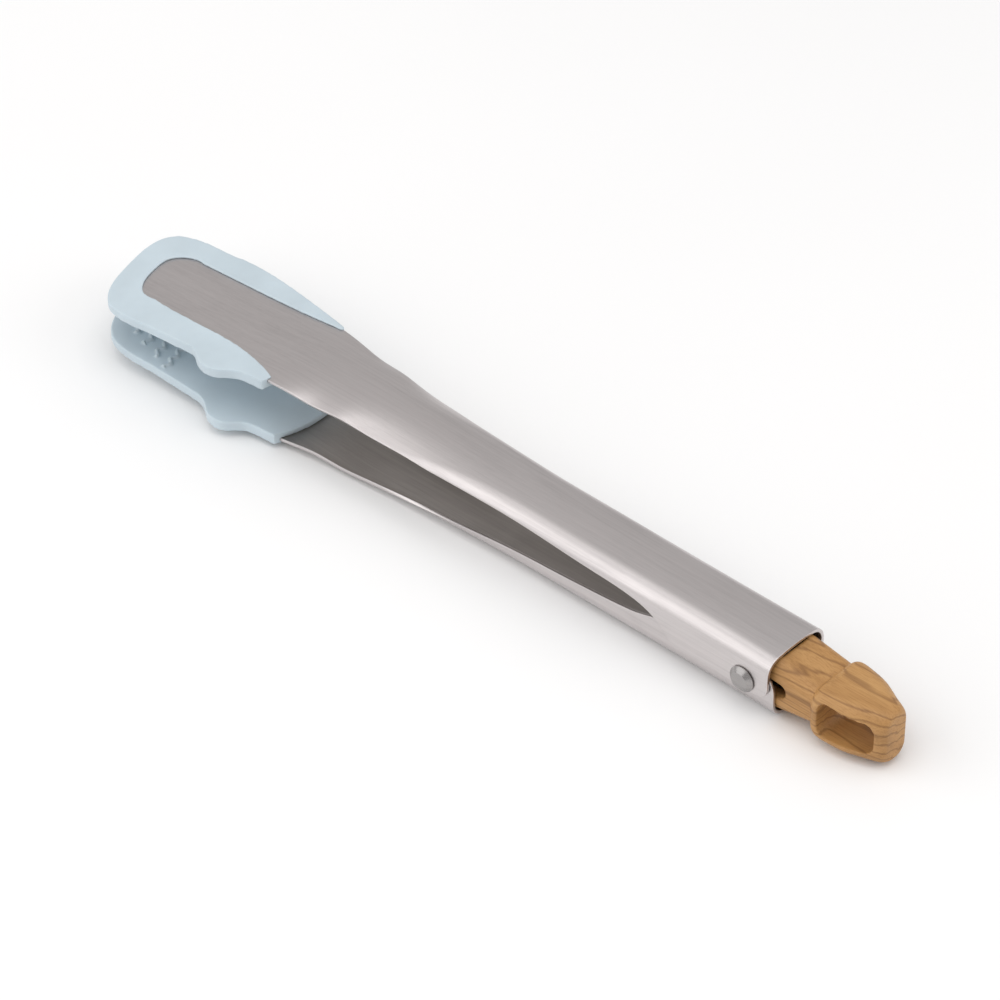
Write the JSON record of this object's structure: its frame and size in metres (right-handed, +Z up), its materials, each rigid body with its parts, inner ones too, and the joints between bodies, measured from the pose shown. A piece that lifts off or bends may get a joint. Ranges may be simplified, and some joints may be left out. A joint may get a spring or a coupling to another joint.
{
  "type": "kitchen tongs",
  "caption": "Spring loaded locking kitchen tongs with steel arms, silicone head sleeves and a wooden pull tab.",
  "frame": {"origin": "centre of the bounding box on the surface the tongs lie on", "axes": "+X along the tongs towards the pull tab, +Y across the arms, +Z up, away from the lower arm"},
  "size_m": [0.302, 0.0478, 0.0255],
  "materials": {
    "steel": "brushed lengthwise",
    "silicone": "soft matte",
    "rivet": "turned, semi-bright",
    "spring": "drawn wire",
    "wood": "oiled"
  },
  "bodies": {
    "lower": {"lower_arm": "steel", "lower_head_sleeve": "silicone"},
    "upper": {"upper_arm": "steel", "upper_head_sleeve": "silicone"},
    "pivot": {"pivot_pin": "rivet", "pivot_cap": "rivet", "spring_spacer": "spring", "torsion_spring": "spring"},
    "tab": {"pull_tab": "wood"}
  },
  "joints": [
    {"name": "arm_hinge", "type": "hinge", "parent": "lower", "child": "upper", "pos_m": [0.10509, 0, 0.01056], "axis": [0, 1, 0], "range_deg": [0, 22], "deforming": ["torsion_spring"]},
    {"name": "pivot_turn", "type": "hinge", "parent": "lower", "child": "pivot", "pos_m": [0.10509, 0, 0.01056], "axis": [0, 1, 0], "range_deg": [0, 11]},
    {"name": "tab_slide", "type": "slide", "parent": "pivot", "child": "tab", "axis": [0.9999, 0, -0.0149], "range_m": [-0.009, 0]}
  ],
  "couplings": [
    {"joint": "pivot_turn", "follows": "arm_hinge", "ratio": 0.5},
    {"joint": "tab_slide", "follows": "arm_hinge", "m_per_rad": -0.023437}
  ]
}
